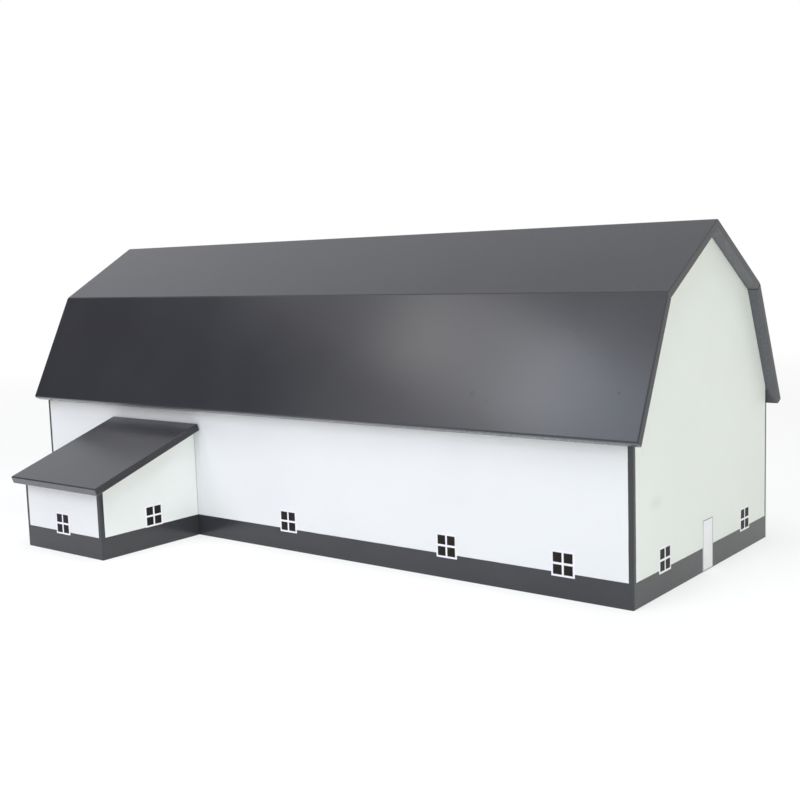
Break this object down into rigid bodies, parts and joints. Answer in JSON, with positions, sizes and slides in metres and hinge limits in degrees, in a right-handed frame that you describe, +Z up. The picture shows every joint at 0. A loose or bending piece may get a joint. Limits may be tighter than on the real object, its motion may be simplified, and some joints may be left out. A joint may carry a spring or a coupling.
{
  "type": "toy barn",
  "caption": "Gambrel-roofed toy dairy barn with a lift-off roof, a lean-to milk house and sticker windows.",
  "frame": {"origin": "centre of the main barn's footprint, on the table, at the middle of the floor board's underside", "axes": "+X along the barn, -Y out of the long wall that carries the milk house, +Z up"},
  "size_m": [0.548, 0.303, 0.2165],
  "materials": {
    "painted_wall": "satin",
    "painted_roof": "satin",
    "bare_board": "matte",
    "window_sticker": "satin",
    "door_sticker": "satin"
  },
  "bodies": {
    "barn": {"front_wall": "painted_wall", "rear_wall": "painted_wall", "right_gable_wall": "painted_wall", "left_gable_wall": "painted_wall", "annex_front_wall": "painted_wall", "annex_left_wall": "painted_wall", "annex_right_wall": "painted_wall", "annex_roof_board": "painted_roof", "floor_board": "bare_board", "front_left_corner_post": "bare_board", "front_right_corner_post": "bare_board", "rear_left_corner_post": "bare_board", "rear_right_corner_post": "bare_board", "annex_left_post": "bare_board", "annex_right_post": "bare_board", "front_window_left": "window_sticker", "front_window_middle": "window_sticker", "front_window_right": "window_sticker", "rear_window_left": "window_sticker", "rear_window_middle": "window_sticker", "rear_window_right": "window_sticker", "right_gable_front_window": "window_sticker", "right_gable_rear_window": "window_sticker", "left_gable_front_window": "window_sticker", "left_gable_rear_window": "window_sticker", "annex_front_window": "window_sticker", "annex_side_window": "window_sticker", "right_gable_door": "door_sticker", "left_gable_door": "door_sticker"},
    "roof": {"front_upper_roof_board": "painted_roof", "front_lower_roof_board": "painted_roof", "rear_upper_roof_board": "painted_roof", "rear_lower_roof_board": "painted_roof", "front_knee_cleat": "bare_board", "rear_knee_cleat": "bare_board", "ridge_cleat": "bare_board"}
  },
  "joints": [
    {"name": "roof_lift", "type": "slide", "parent": "barn", "child": "roof", "axis": [0, 0, 1], "range_m": [0, 0.13]}
  ]
}
